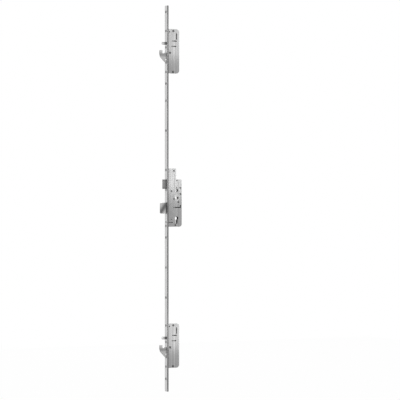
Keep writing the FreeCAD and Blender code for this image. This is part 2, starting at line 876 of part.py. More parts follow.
def deadbolt():
    bolt = new_body("deadbolt")
    sketch, length = side_pad(bolt, "-bolt_half", "bolt_half")
    outline(sketch, [
        ("-bolt_throw", "-bolt_bottom", "bolt_corner"), ("gap", "-bolt_bottom"),
        ("gap", "-bolt_top"), ("-bolt_throw", "-bolt_top", "bolt_corner"),
    ])
    pad(bolt, sketch, length)
    sketch, length = side_pad(bolt, "-bolt_half", "blade_far")
    rectangle(sketch, "gap", "-bolt_bottom + bolt_step", "bolt_tail", "-bolt_top - bolt_step")
    pad(bolt, sketch, length)

    def pin_slots(sketch):
        slot(sketch, ("bolt_pin_x", "-bolt_pin_z"),
             ("bolt_pin_x - bolt_throw", "-bolt_pin_z + stroke"), "drive_pin + play")

    def guide_hole(sketch):
        circle(sketch, "bolt_guide_x", "-bolt_guide_z", "guide_pin")

    def hard_holes(sketch):
        for height in HARD_PINS:
            circle(sketch, "-bolt_throw / 2", height, "hard_pin")

    through_cut(bolt, "-blade_near + blind_wall", "blade_far", pin_slots)
    through_cut(bolt, "-bolt_half", "blade_far", guide_hole)
    through_cut(bolt, "-bolt_half + blind_wall", "bolt_half", hard_holes)

    hard = new_body("deadbolt_hard_pins")
    sketch, length = side_pad(hard, "-bolt_half + blind_wall", "bolt_half")
    hard_holes(sketch)
    pad(hard, sketch, length)
    guide = cross_pin("deadbolt_guide_pin", "bolt_guide_x", "-bolt_guide_z", f"-{OUTER}", "blade_far",
                      "guide_pin")
    return [bolt, hard, guide]


def main_slide():
    body = new_body("main_slide")
    sketch, length = side_pad(body, "slide_near", "slide_far")
    outline(sketch, [
        (ROD_BACK, "-foot_bottom"), ("slide_left", "-foot_bottom", "foot_round"),
        ("slide_left", "-slide_bottom"), ("slide_right", "-slide_bottom"),
        ("slide_right", "-slide_top"), ("slide_left", "-slide_top"),
        ("slide_left", "-foot_top", "foot_round"), (ROD_BACK, "-foot_top"),
    ])
    pad(body, sketch, length)
    sketch, length = side_pad(body, "slide_near", "slide_far")
    rectangle(sketch, ROD_FRONT, "-nose_level - nose_height / 2", ROD_BACK,
              "-nose_level + nose_height / 2")
    pad(body, sketch, length)

    def notches(sketch):
        for level in ("-cylinder_drop", "-cylinder_drop - stroke / 2"):
            rectangle(sketch, "slide_right - notch_depth", f"{level} - notch_height / 2",
                      "slide_right + gap", f"{level} + notch_height / 2")

    through_cut(body, "slide_near", "slide_far", notches)
    through_cut(body, "slide_near", "slide_far",
                lambda sketch: circle(sketch, "bolt_pin_x", "-bolt_pin_z", "drive_pin"))
    pin = cross_pin("main_slide_pin", "bolt_pin_x", "-bolt_pin_z", "-drive_pin_reach", "slide_far",
                    "drive_pin")
    return [body, pin]


# Side boxes

def side_box(prefix, level):
    box_posts = [
        ("upper_post_x", f"{level} + upper_post_z", "post"),
        ("lower_post_x", f"{level} - lower_post_z", "post"),
    ]
    bottom, top = f"{level} - box_half", f"{level} + box_half"
    corners = [
        ("case_front", bottom), ("box_depth", bottom, "box_corner"),
        ("box_depth", top, "box_corner"), ("case_front", top),
    ]
    wall = "case_sheet"
    inner = [
        (f"case_front - {wall}", f"{bottom} + {wall}"),
        (f"box_depth - {wall}", f"{bottom} + {wall}", f"box_corner - {wall}"),
        (f"box_depth - {wall}", f"{top} - {wall}", f"box_corner - {wall}"),
        (f"case_front - {wall}", f"{top} - {wall}"),
    ]
    tray, cover = case_shell(f"{prefix}_box", corners, inner)
    pivot = ("hook_x", f"{level} - hook_z")
    guides = [
        ("high_guide_x", f"{level} + high_guide_z"),
        ("low_guide_x", f"{level} + low_guide_z"),
    ]

    def openings(sketch):
        slot(sketch, ("arm_pin_x", f"{level} + arm_pin_z - fit"),
             ("arm_pin_x", f"{level} + arm_pin_z + stroke + fit"), "guide_pin + play")
        for x, z in guides:
            slot(sketch, (f"{x} - fit", z), (f"{x} + round_throw + fit", z), "guide_pin + play")

    for shell, near, far in ((tray, INNER, OUTER), (cover, f"-{OUTER}", f"-{INNER}")):
        through_cut(shell, near, far, lambda sketch: circle(sketch, *pivot, "hook_pin"))
    through_cut(cover, f"-{OUTER}", f"-{INNER}", post_holes(box_posts))
    through_cut(cover, f"-{OUTER}", f"-{INNER}", openings)

    blocks = front_blocks(f"{prefix}_box_blocks", [
        (f"{bottom} + {wall}", f"{bottom} + {wall} + block_height", f"{level} - box_screw_bottom"),
        (f"{top} - {wall} - block_height", f"{top} - {wall}", f"{level} + box_screw_top"),
    ])
    pivot_pin = cross_pin(f"{prefix}_hook_pivot", *pivot, f"-{OUTER}", OUTER, "hook_pin")
    return [
        tray, cover, posts(f"{prefix}_box_posts", box_posts), blocks, pivot_pin,
        *box_slide(prefix, level), hook(prefix, level), *round_bolt(prefix, level, guides),
    ]


def box_slide(prefix, level):
    """The slide that the rod lifts: an arm at the top, a bar, and a rack that turns the hook."""
    body = new_body(f"{prefix}_box_slide")
    sketch, length = side_pad(body, "slide_near", "slide_far")
    root_x = f"({RACK_PITCH} + {DEDENDUM} * module)"
    foot = f"{level} - hook_z - {RACK_TEETH - 1} * {PITCH}"
    outline(sketch, [
        (ROD_BACK, f"{level} + arm_bottom"), (RACK_PITCH, f"{level} + arm_bottom", "arm_round"),
        (RACK_PITCH, f"{level} + rack_top"), (root_x, f"{level} + rack_top - {DEDENDUM} * module"),
        (root_x, foot), (RACK_BACK, foot), (RACK_BACK, f"{level} + arm_bottom", "arm_round"),
        ("arm_end", f"{level} + arm_bottom"), ("arm_end", f"{level} + arm_top", "arm_round"),
        (ROD_BACK, f"{level} + arm_top"),
    ])
    pad(body, sketch, length)
    sketch, length = side_pad(body, "slide_near", "slide_far")
    rectangle(sketch, ROD_FRONT, f"{level} + box_nose - nose_height / 2", ROD_BACK,
              f"{level} + box_nose + nose_height / 2")
    pad(body, sketch, length)

    sketch, length = side_pad(body, "slide_near", "slide_far")
    middle = f"({level} - hook_z + {PITCH} / 2)"
    for step in range(RACK_TEETH):
        height = f"{middle} - {step} * {PITCH}"
        outline(sketch, [
            (f"{root_x} + play", f"{height} - {RACK_ROOT} * {PITCH}"),
            (f"{root_x} + play", f"{height} + {RACK_ROOT} * {PITCH}"),
            (f"{RACK_PITCH} - module", f"{height} + {TOOTH_TIP} * {PITCH}"),
            (f"{RACK_PITCH} - module", f"{height} - {TOOTH_TIP} * {PITCH}"),
        ])
    pad(body, sketch, length)

    pins = [
        (SLIDE_PIN_X, f"{level} + slide_pin_z", "-drive_pin_reach", "drive_pin"),
        ("arm_pin_x", f"{level} + arm_pin_z", f"-{OUTER}", "guide_pin"),
    ]

    def pin_holes(sketch):
        for x, z, near, radius in pins:
            circle(sketch, x, z, radius)

    through_cut(body, "slide_near", "slide_far", pin_holes)
    solids = [cross_pin("slide_pin", x, z, near, "slide_far", radius) for x, z, near, radius in pins]
    return [body, group(f"{prefix}_box_slide_pins", solids)]


def hook(prefix, level):
    body = new_body(f"{prefix}_hook")

    def from_pivot(x, z, *radius):
        return (f"hook_x + ({x})", f"{level} - hook_z + ({z})", *radius)

    sketch, length = side_pad(body, "-blade_near", "blade_far")
    blank = "(hook_reach + gap)"
    outline(sketch, [
        from_pivot("-mouth_outer", "hook_tip", "hook_tip_round"), from_pivot(f"-{blank}", "hook_tip"),
        from_pivot(f"-{blank}", "-heel_rise"), from_pivot("-heel_x", "-heel_z"),
        from_pivot("-heel_inner_x", "-heel_inner_z", "heel_round"), from_pivot("hook_root", "-hook_root"),
        from_pivot("hook_root", "gap"), from_pivot("-mouth_inner", "gap", "mouth_lip_round"),
        from_pivot("-mouth_inner", "-mouth_floor", "mouth_round"),
        from_pivot("-mouth_outer", "-mouth_floor", "mouth_round"),
    ])
    pad(body, sketch, length)

    # the outer edge is an arc about the pivot
    def outside(sketch):
        circle(sketch, *from_pivot("0", "0"), "hook_reach")
        circle(sketch, *from_pivot("0", "0"), "2 * hook_reach")

    through_cut(body, "-blade_near", "blade_far", outside)

    sketch, length = side_pad(body, f"-{INNER} + play", f"{INNER} - play")
    circle(sketch, *from_pivot("0", "0"), "hook_hub")
    pad(body, sketch, length)

    # a toothed sector in the layer of the slide
    tooth_turn = HOOK_TURN / TEETH_IN_STROKE

    def about_pivot(along, aside, turn):
        return from_pivot(f"{along} * cos({turn}) - {aside} * sin({turn})",
                          f"{along} * sin({turn}) + {aside} * cos({turn})")

    sector, length = side_pad(body, "slide_near", "slide_far")
    root = f"({PITCH_RADIUS} - {DEDENDUM} * module)"
    outline(sector, [from_pivot("0", "0")] + [
        about_pivot(root, "0", (0.5 - step) * tooth_turn) for step in range(HOOK_TEETH + 1)
    ])
    pad(body, sector, length)
    teeth, length = side_pad(body, "slide_near", "slide_far")
    inside = f"({PITCH_RADIUS} - {HOOK_TOOTH_DEPTH} * module)"
    outside_radius = f"({PITCH_RADIUS} + module)"
    for step in range(HOOK_TEETH):
        turn = -step * tooth_turn
        outline(teeth, [
            about_pivot(inside, f"(-{HOOK_ROOT} * {PITCH})", turn),
            about_pivot(outside_radius, f"(-{TOOTH_TIP} * {PITCH})", turn),
            about_pivot(outside_radius, f"({TOOTH_TIP} * {PITCH})", turn),
            about_pivot(inside, f"({HOOK_ROOT} * {PITCH})", turn),
        ])
    pad(body, teeth, length)

    def bores(sketch):
        circle(sketch, *from_pivot("0", "0"), "hook_pin + fit")
        circle(sketch, *from_pivot("-hook_hole_x", "-hook_hole_z"), "hook_hole")

    through_cut(body, f"-{INNER}", INNER, bores)
    return body


def round_bolt(prefix, level, guides):
    axis = f"{level} + round_z"
    bolt = new_body(f"{prefix}_round_bolt")
    head = front_sketch(bolt, "-round_throw")
    circle(head, "0", axis, "round_bolt")
    pad(bolt, head, "round_throw + carriage_front")

    def tenon(body, depth):
        """The square tongue at the bolt's rear, midway across the carriage."""
        sketch = front_sketch(body, depth)
        middle = "(blade_far - blade_near) / 2"
        rectangle(sketch, f"{middle} - tenon_half", f"{axis} - tenon_half", f"{middle} + tenon_half",
                  f"{axis} + tenon_half")
        return sketch

    pad(bolt, tenon(bolt, "carriage_front"), "tenon_length")

    carriage = new_body(f"{prefix}_bolt_carriage")
    sketch, length = side_pad(carriage, "-blade_near", "blade_far")
    outline(sketch, [
        ("carriage_front", f"{level} + carriage_bottom"),
        ("carriage_rear", f"{level} + carriage_bottom"),
        ("carriage_rear", f"{level} + carriage_top - carriage_cut"),
        ("carriage_rear - carriage_cut", f"{level} + carriage_top"),
        ("carriage_front", f"{level} + carriage_top"),
    ])
    pad(carriage, sketch, length)

    def pin_slot(sketch):
        slot(sketch, (SLIDE_PIN_X, f"{level} + slide_pin_z"),
             (f"{SLIDE_PIN_X} - round_throw", f"{level} + slide_pin_z + stroke"), "drive_pin + play")

    def guide_holes(sketch):
        for x, z in guides:
            circle(sketch, x, z, "guide_pin")

    through_cut(carriage, "-blade_near + blind_wall", "blade_far", pin_slot)
    through_cut(carriage, "-blade_near", "blade_far", guide_holes)
    pocket(carriage, tenon(carriage, "carriage_front + tenon_length"), "tenon_length")
    solids = [cross_pin("carriage_pin", x, z, f"-{OUTER}", "blade_far", "guide_pin")
              for x, z in guides]
    return [bolt, carriage, group(f"{prefix}_carriage_pins", solids)]


# The assembly

subparts = [faceplate(), *screws(), *rod_guides(), drive_rod(), *main_case(), *latch(),
            latch_spring(), follower(), *deadbolt(), *main_slide()]
for box_prefix, box_level in BOX_LEVELS.items():
    subparts.extend(side_box(box_prefix, box_level))
doc.recompute()

for item in doc.Objects:
    if "Invalid" in item.State or "Error" in item.State:
        raise RuntimeError(f"{item.Label} failed: {item.State}")
    if item.TypeId == "PartDesign::Pocket" and item.BaseFeature:
        if item.Shape.Volume >= item.BaseFeature.Shape.Volume - 1e-6:
            raise RuntimeError(f"{item.Label} of {item.getParent().Label} cuts nothing")
for item in subparts:
    if item.Shape.isNull() or not item.Shape.isValid():
        raise RuntimeError(f"{item.Label} has no valid shape")
for item in subparts:
    item.Shape.exportStep(f"parts/{item.Label}.step")
    print(item.Label, len(item.Shape.Solids), round(item.Shape.Volume, 1))
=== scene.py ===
import json
import math

import bmesh
import bpy
from mathutils import Matrix, Vector


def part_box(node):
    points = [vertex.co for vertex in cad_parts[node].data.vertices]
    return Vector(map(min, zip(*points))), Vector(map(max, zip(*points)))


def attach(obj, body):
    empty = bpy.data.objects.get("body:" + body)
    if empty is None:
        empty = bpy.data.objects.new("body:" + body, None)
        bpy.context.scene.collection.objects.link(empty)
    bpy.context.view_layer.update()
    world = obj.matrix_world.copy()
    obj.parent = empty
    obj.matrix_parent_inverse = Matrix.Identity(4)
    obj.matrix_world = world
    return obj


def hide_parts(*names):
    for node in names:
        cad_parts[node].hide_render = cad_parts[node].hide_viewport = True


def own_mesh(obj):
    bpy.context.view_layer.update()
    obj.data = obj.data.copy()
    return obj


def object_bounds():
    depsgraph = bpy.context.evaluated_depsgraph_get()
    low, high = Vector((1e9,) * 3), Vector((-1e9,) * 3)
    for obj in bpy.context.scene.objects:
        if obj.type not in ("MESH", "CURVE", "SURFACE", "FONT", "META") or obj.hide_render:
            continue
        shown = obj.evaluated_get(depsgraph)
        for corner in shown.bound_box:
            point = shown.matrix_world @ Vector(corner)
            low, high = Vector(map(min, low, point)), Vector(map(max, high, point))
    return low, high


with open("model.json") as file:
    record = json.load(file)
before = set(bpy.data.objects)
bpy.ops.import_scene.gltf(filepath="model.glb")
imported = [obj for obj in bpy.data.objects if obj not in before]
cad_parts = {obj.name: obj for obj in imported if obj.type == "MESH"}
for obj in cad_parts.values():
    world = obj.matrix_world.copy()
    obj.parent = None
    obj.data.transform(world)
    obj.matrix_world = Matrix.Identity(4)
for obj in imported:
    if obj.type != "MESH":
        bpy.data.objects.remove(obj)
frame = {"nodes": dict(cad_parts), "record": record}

# The multipoint lock stands upright, its faceplate towards -X and the cases' covers towards -Y. Metres.

MM = 0.001
cad_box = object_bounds()
NODES = frame["nodes"]
BODY_OF = {node: body for body, held in frame["record"]["behaviour"]["bodies"].items() for node in held}
SLOT_OF = {part["node"]: part["material_slot"] for part in frame["record"]["subparts"]}
SIDES = ("upper", "lower")
NEAR = -1
FAR = 1
FLAT = 1e-3
SAME_PLACE = 0.01 * MM
SAME_POINT = 0.001 * MM
SAME_PLANE = math.radians(1)


# Modelling helpers

def deselect():
    bpy.ops.object.select_all(action="DESELECT")


def select_only(piece):
    deselect()
    piece.select_set(True)
    bpy.context.view_layer.objects.active = piece


def named(name):
    """Gives the active object and its mesh this name."""
    piece = bpy.context.object
    piece.name = name
    piece.data.name = name
    return piece


def settle(piece):
    """Puts the piece's place, turn and size into its mesh."""
    select_only(piece)
    bpy.ops.object.transform_apply(location=True, rotation=True, scale=True)


def choose(piece, test):
    """Selects the faces that pass the test, in edit mode."""
    mesh = bmesh.from_edit_mesh(piece.data)
    for face in mesh.faces:
        face.select_set(bool(test(face)))
    mesh.select_flush_mode()
    bmesh.update_edit_mesh(piece.data)


def edit(piece, test):
    """Opens the piece in edit mode, with the faces chosen that pass the test."""
    select_only(piece)
    bpy.ops.object.mode_set(mode="EDIT")
    bpy.ops.mesh.select_mode(type="FACE")
    choose(piece, test)


def everything(face):
    return True


def facing(axis, place, inside=None):
    """A test for the flat faces across one axis at one place, within some bounds."""
    def test(face):
        centre = face.calc_center_median()
        flat = abs(abs(face.normal[axis]) - 1) < FLAT and abs(centre[axis] - place) < SAME_PLACE
        return flat and (inside is None or inside(centre))
    return test


def across_y(face):
    """Whether a face lies square to the Y axis."""
    return abs(abs(face.normal.y) - 1) < FLAT


def bisect(piece, axis, place):
    """Cuts new edges right round the piece, square to one axis."""
    choose(piece, everything)
    middle, normal = [0, 0, 0], [0, 0, 0]
    middle[axis] = place
    normal[axis] = 1
    bpy.ops.mesh.bisect(plane_co=middle, plane_no=normal)


def ease(piece, width, segments=2, sharp=35):
    """Rounds the sharp edges and shades the flats as flats."""
    bpy.ops.object.mode_set(mode="OBJECT")
    select_only(piece)
    bpy.ops.object.shade_smooth_by_angle(angle=math.radians(sharp))
    modifier = piece.modifiers.new("Eased edges", "BEVEL")
    modifier.width = width
    modifier.segments = segments
    modifier.limit_method = "ANGLE"
    modifier.angle_limit = math.radians(sharp)
    modifier.harden_normals = True
    bpy.ops.object.modifier_apply(modifier=modifier.name)


def join(name, pieces):
    """Makes several like solids one piece."""
    deselect()
    for piece in pieces:
        piece.select_set(True)
    bpy.context.view_layer.objects.active = pieces[0]
    if len(pieces) > 1:
        bpy.ops.object.join()
    return named(name)


def copy_to(model, matrix):
    """A copy of a modelled piece with its own mesh, moved in its mesh."""
    piece = model.copy()
    piece.data = model.data.copy()
    bpy.context.scene.collection.objects.link(piece)
    piece.data.transform(matrix)
    return piece


def level_of(node):
    """The height of the middle of a CAD node."""
    low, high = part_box(node)
    return (low.z + high.z) / 2


def solids(node):
    """The lowest and highest corners of each separate solid of a CAD node, from the lowest up."""
    mesh = bmesh.new()
    mesh.from_mesh(NODES[node].data)
    bmesh.ops.remove_doubles(mesh, verts=mesh.verts, dist=SAME_POINT)
    waiting = set(mesh.verts)
    found = []
    while waiting:
        island = {waiting.pop()}
        edge = list(island)
        while edge:
            vertex = edge.pop()
            for link in vertex.link_edges:
                other = link.other_vert(vertex)
                if other in waiting:
                    waiting.discard(other)
                    island.add(other)
                    edge.append(other)
        low = Vector(min(v.co[axis] for v in island) for axis in range(3))
        high = Vector(max(v.co[axis] for v in island) for axis in range(3))
        found.append((low, high))
    mesh.free()
    return sorted(found, key=lambda ends: ends[0].z)


def dress(piece, body, slot, finish=None):
    """Gives a piece its body, its material slot and its finish."""
    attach(piece, body)
    piece.data.materials.clear()
    piece.data.materials.append(FINISHES[finish or slot])
    return piece


def mark(piece, name, test):
    """Writes down on each face whether it passes the test, for the finish to read."""
    attribute = piece.data.attributes.new(name, "FLOAT", "FACE")
    for polygon, entry in zip(piece.data.polygons, attribute.data):
        entry.value = float(test(polygon))


# Shared shader groups

def shader_group(name, inputs, outputs):
    """An empty node group with its named inputs and outputs."""
    tree = bpy.data.node_groups.new(name, "ShaderNodeTree")
    for label, kind in inputs:
        tree.interface.new_socket(name=label, in_out="INPUT", socket_type=kind)
    for label in outputs:
        tree.interface.new_socket(name=label, in_out="OUTPUT", socket_type="NodeSocketFloat")
    return tree, tree.nodes.new("NodeGroupInput"), tree.nodes.new("NodeGroupOutput")


def add(tree, kind, **settings):
    node = tree.nodes.new(kind)
    for key, setting in settings.items():
        setattr(node, key, setting)
    return node


def place_group(tree, group, values):
    """Places a shared group in a material with the material's own values."""
    node = add(tree, "ShaderNodeGroup", node_tree=group)
    for label, setting in values.items():
        node.inputs[label].default_value = setting
    return node


def stretch(tree, source, low, high, to_low=0.0, to_high=1.0):
    """Stretches a value from one span to another, held inside it."""
    node = add(tree, "ShaderNodeMapRange")
    tree.links.new(source, node.inputs["Value"])
    for label, number in (("From Min", low), ("From Max", high), ("To Min", to_low), ("To Max", to_high)):
        node.inputs[label].default_value = number
    return node.outputs["Result"]


def arithmetic(tree, operation, *sources):
    """The result of an operation on links and plain numbers."""
    node = add(tree, "ShaderNodeMath", operation=operation)
    for socket, source in zip(node.inputs, sources):
        if isinstance(source, bpy.types.NodeSocket):
            tree.links.new(source, socket)
        else:
            socket.default_value = source
    return node.outputs["Value"]


def brushed_grain():
    """Streaks drawn out along one direction, with wider bands under them."""
    tree, given, out = shader_group(
        "brushed_grain", [("Scale", "NodeSocketVector")], ["Streak", "Band"])
    place = add(tree, "ShaderNodeTexCoord")
    drawn = add(tree, "ShaderNodeMapping")
    tree.links.new(place.outputs["Object"], drawn.inputs["Vector"])
    tree.links.new(given.outputs["Scale"], drawn.inputs["Scale"])
    for label, scale, detail in (("Streak", 1.0, 4.0), ("Band", 0.16, 3.0)):
        noise = add(tree, "ShaderNodeTexNoise")
        noise.inputs["Scale"].default_value = scale
        noise.inputs["Detail"].default_value = detail
        tree.links.new(drawn.outputs["Vector"], noise.inputs["Vector"])
        tree.links.new(stretch(tree, noise.outputs["Fac"], low=0.32, high=0.68), out.inputs[label])
    return tree


def plating_cloud():
    """Soft uneven patches, as a plated or cast surface has."""
    tree, given, out = shader_group("plating_cloud", [("Scale", "NodeSocketFloat")], ["Cloud"])
    place = add(tree, "ShaderNodeTexCoord")
    noise = add(tree, "ShaderNodeTexNoise")
    noise.inputs["Detail"].default_value = 5.0
    tree.links.new(place.outputs["Object"], noise.inputs["Vector"])
    tree.links.new(given.outputs["Scale"], noise.inputs["Scale"])
    tree.links.new(stretch(tree, noise.outputs["Fac"], low=0.35, high=0.65), out.inputs["Cloud"])
    return tree


def worn_edge_and_highlight():
    """Bright where an edge turns sharply: wear where hands or keeps rub it, and a painted edge highlight.
    """
    tree, given, out = shader_group(
        "worn_edge_and_highlight", [("Radius", "NodeSocketFloat"), ("Amount", "NodeSocketFloat")], ["Edge"])
    rounded = add(tree, "ShaderNodeBevel", samples=6)
    surface = add(tree, "ShaderNodeNewGeometry")
    compare = add(tree, "ShaderNodeVectorMath", operation="DOT_PRODUCT")
    place = add(tree, "ShaderNodeTexCoord")
    patchy = add(tree, "ShaderNodeTexNoise")
    patchy.inputs["Scale"].default_value = 240.0
    tree.links.new(given.outputs["Radius"], rounded.inputs["Radius"])
    tree.links.new(rounded.outputs["Normal"], compare.inputs[0])
    tree.links.new(surface.outputs["Normal"], compare.inputs[1])
    tree.links.new(place.outputs["Object"], patchy.inputs["Vector"])
    turned = stretch(tree, compare.outputs["Value"], low=0.98, high=0.75)
    uneven = stretch(tree, patchy.outputs["Fac"], low=0.35, high=0.6, to_low=0.35)
    edge = arithmetic(tree, "MULTIPLY", turned, uneven)
    tree.links.new(arithmetic(tree, "MULTIPLY", edge, given.outputs["Amount"]), out.inputs["Edge"])
    return tree


def hollow_painted_shade():
    """Painted shade: dark where a surface lies deep in a slot, a bore or a case, uneven in patches."""
    tree, given, out = shader_group("hollow_painted_shade", [("Reach", "NodeSocketFloat")], ["Grease"])
    shelter = add(tree, "ShaderNodeAmbientOcclusion", samples=8)
    place = add(tree, "ShaderNodeTexCoord")
    patchy = add(tree, "ShaderNodeTexNoise")
    patchy.inputs["Scale"].default_value = 180.0
    tree.links.new(given.outputs["Reach"], shelter.inputs["Distance"])
    tree.links.new(place.outputs["Object"], patchy.inputs["Vector"])
    deep = stretch(tree, shelter.outputs["AO"], low=0.62, high=0.30)
    uneven = stretch(tree, patchy.outputs["Fac"], low=0.35, high=0.6, to_low=0.85)
    tree.links.new(arithmetic(tree, "MULTIPLY", deep, uneven), out.inputs["Grease"])
    return tree


def soft_band():
    """A soft-edged band across a surface, square to one direction."""
    tree, given, out = shader_group(
        "soft_band",
        [("Middle", "NodeSocketVector"), ("Across", "NodeSocketVector"),
         ("Half Width", "NodeSocketFloat")], ["Band"])
    place = add(tree, "ShaderNodeTexCoord")
    offset = add(tree, "ShaderNodeVectorMath", operation="SUBTRACT")
    along = add(tree, "ShaderNodeVectorMath", operation="DOT_PRODUCT")
    tree.links.new(place.outputs["Object"], offset.inputs[0])
    tree.links.new(given.outputs["Middle"], offset.inputs[1])
    tree.links.new(offset.outputs["Vector"], along.inputs[0])
    tree.links.new(given.outputs["Across"], along.inputs[1])
    away = arithmetic(tree, "ABSOLUTE", along.outputs["Value"])
    share = arithmetic(tree, "DIVIDE", away, given.outputs["Half Width"])
    tree.links.new(stretch(tree, share, low=1.3, high=0.3), out.inputs["Band"])
    return tree


GRAIN = brushed_grain()
CLOUD = plating_cloud()
EDGE_WEAR_AND_HIGHLIGHT = worn_edge_and_highlight()
HOLLOW_SHADE = hollow_painted_shade()
SOFT_BAND = soft_band()


# Finishes, named for the material slots or for the one piece that wears them

def grey(level, warmth=0.0):
    """A colour of one lightness, with a little more red than blue where it is warm."""
    return (level * (1 + warmth), level, level * (1 - warmth), 1.0)


CLOUD_SHARE = 0.35
BAND_SHARE = 0.7
# How much lighter the edges are painted, as wear and as an edge highlight
EDGE_LIGHTER = 1.5
# The colour of the painted shade in hollows
HOLLOW_SHADE_DARK = grey(0.02)
STREAK_SMOOTHER = 0.06
STREAK_ROUGHER = 0.08
STREAK_RELIEF = 0.2
STREAK_DEPTH = 0.04 * MM
EDGE_RADIUS = 0.4 * MM
CASE_REACH = 30 * MM


def blend_colour(tree, factor, first, second):
    """Goes over from the first colour to the second as the factor goes from 0 to 1."""
    node = add(tree, "ShaderNodeMix", data_type="RGBA")
    for label, source in (("Factor", factor), ("A", first), ("B", second)):
        socket = next(s for s in node.inputs if s.name == label and s.enabled)
        if isinstance(source, bpy.types.NodeSocket):
            tree.links.new(source, socket)
        else:
            socket.default_value = source
    return next(s for s in node.outputs if s.enabled)


def metal(name, light, dark, rough, metallic, grain, wear_and_highlight=0.5, cloud=60.0, shades=(),
          reach=CASE_REACH):
    """A metal between two greys: brushed streaks, plating patches, worn edges with a painted highlight
    and painted shade in hollows. The shades paint further shade into its colour, and the reach is how
    far off a wall still shelters a point."""
    material = bpy.data.materials.new(name)
    material.use_nodes = True
    tree = material.node_tree
    surface = tree.nodes["Principled BSDF"]
    surface.inputs["Metallic"].default_value = metallic
    streaks = place_group(tree, GRAIN, {"Scale": grain})
    patches = place_group(tree, CLOUD, {"Scale": cloud})
    edges = place_group(tree, EDGE_WEAR_AND_HIGHLIGHT, {"Radius": EDGE_RADIUS, "Amount": wear_and_highlight})
    hollows = place_group(tree, HOLLOW_SHADE, {"Reach": reach})
    middle = tuple((a + b) / 2 for a, b in zip(light, dark))
    colour = blend_colour(tree, streaks.outputs["Streak"], light, dark)
    clouded = stretch(tree, patches.outputs["Cloud"], 0, 1, to_high=CLOUD_SHARE)
    colour = blend_colour(tree, clouded, colour, middle)
    banding = stretch(tree, streaks.outputs["Band"], 0, 1, to_high=BAND_SHARE)
    colour = blend_colour(tree, banding, colour, dark)
    for shade in shades:
        colour = shade(tree, colour)
    colour = blend_colour(tree, edges.outputs["Edge"], colour, grey(min(1.0, light[1] * EDGE_LIGHTER)))
    colour = blend_colour(tree, hollows.outputs["Grease"], colour, HOLLOW_SHADE_DARK)
    tree.links.new(colour, surface.inputs["Base Color"])
    shine = stretch(tree, streaks.outputs["Streak"], 0, 1,
                    to_low=rough - STREAK_SMOOTHER, to_high=rough + STREAK_ROUGHER)
    tree.links.new(shine, surface.inputs["Roughness"])
    bump = add(tree, "ShaderNodeBump")
    bump.inputs["Strength"].default_value = STREAK_RELIEF
    bump.inputs["Distance"].default_value = STREAK_DEPTH
    tree.links.new(streaks.outputs["Streak"], bump.inputs["Height"])
    tree.links.new(bump.outputs["Normal"], surface.inputs["Normal"])
    return material


# Painted shade on the faceplate: its flanges, its countersinks, rings round its heads and holes, below
# the latch and beside the deadbolt
FLANGE_LINE = 11.6 * MM
FLANGE_BLEND = 0.2 * MM
FLANGE_SHARE = 0.9
FLANGE_SHADE = grey(0.09)
COUNTERSINK_SHADE = grey(0.04)
FACEPLATE_SHADE = grey(0.13)
SHADE_RING_FROM = 5.2 * MM
SHADE_RING_TO = 7.2 * MM
RING_SHARE = 0.85
BESIDE_SHARE = 0.7
BESIDE_BLEND = 1 * MM
LATCH_FOOT = 4 * MM
RIVET_LIFT = 17 * MM


def fixing_heights():
    """The heights of the holes for the door's screws."""
    heights = []
    for mount in frame["record"]["mounts"]:
        if mount["kind"] == "bolt_pattern":
            half = mount["dims"]["spacing_y_mm"] / 2 * MM
            heights += [mount["pos_m"][2] - half, mount["pos_m"][2] + half]
    return heights


def head_heights():
    """The heights of the case's screws, of the rivets and of the painted shadow below the latch."""
    heights = [*RIVET_HEIGHTS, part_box("latch_bolt")[0].z - LATCH_FOOT]
    for node in ("case_screws", "guide_rivets"):
        heights += [(low.z + high.z) / 2 for low, high in solids(node)]
    return heights


def soft_band_over(tree, middle, across, half_width):
    """The mask of a soft band."""
    band = place_group(tree, SOFT_BAND, {"Middle": middle, "Across": across, "Half Width": half_width})
    return band.outputs["Band"]


def painted_shade_rings(tree, place, heights):
    """The mask of the shade painted in rings round the heads and holes along the faceplate."""
    nearest = None
    for height in heights:
        apart = add(tree, "ShaderNodeVectorMath", operation="DISTANCE")
        tree.links.new(place, apart.inputs[0])
        apart.inputs[1].default_value = (0, 0, height)
        gap = apart.outputs["Value"]
        nearest = arithmetic(tree, "MINIMUM", nearest, gap) if nearest else gap
    return stretch(tree, nearest, SHADE_RING_TO, SHADE_RING_FROM, to_high=RING_SHARE)


def faceplate_painted_shade(tree, colour):
    """Painted shade on the faceplate: darker flanges, dark countersinks, rings of shade round its screws
    and holes, and a band of it beside the deadbolt."""
    place = add(tree, "ShaderNodeTexCoord")
    rings = painted_shade_rings(tree, place.outputs["Object"], FIXINGS + head_heights())
    colour = blend_colour(tree, rings, colour, FACEPLATE_SHADE)
    low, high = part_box("deadbolt")
    beside = soft_band_over(tree, (0, 0, level_of("deadbolt")), ACROSS_Z, (high.z - low.z) / 2)
    parts = add(tree, "ShaderNodeSeparateXYZ")
    tree.links.new(place.outputs["Object"], parts.inputs["Vector"])
    near_side = stretch(tree, parts.outputs["Y"], low.y + BESIDE_BLEND, low.y, to_high=BESIDE_SHARE)
    colour = blend_colour(tree, arithmetic(tree, "MULTIPLY", beside, near_side), colour, FACEPLATE_SHADE)
    aside = arithmetic(tree, "ABSOLUTE", parts.outputs["Y"])
    on_flange = stretch(tree, aside, FLANGE_LINE, FLANGE_LINE + FLANGE_BLEND, to_high=FLANGE_SHARE)
    colour = blend_colour(tree, on_flange, colour, FLANGE_SHADE)
    sunk = add(tree, "ShaderNodeAttribute", attribute_name="Countersink")
    return blend_colour(tree, sunk.outputs["Fac"], colour, COUNTERSINK_SHADE)


def painted_shade_band(middle, across, half_width, tone):
    """A soft band of painted shade, in which a finish goes over to a darker tone. Its lengths are in
    millimetres.
    """
    def shade(tree, colour):
        band = soft_band_over(tree, [length * MM for length in middle], across, half_width * MM)
        return blend_colour(tree, band, colour, tone)
    return shade


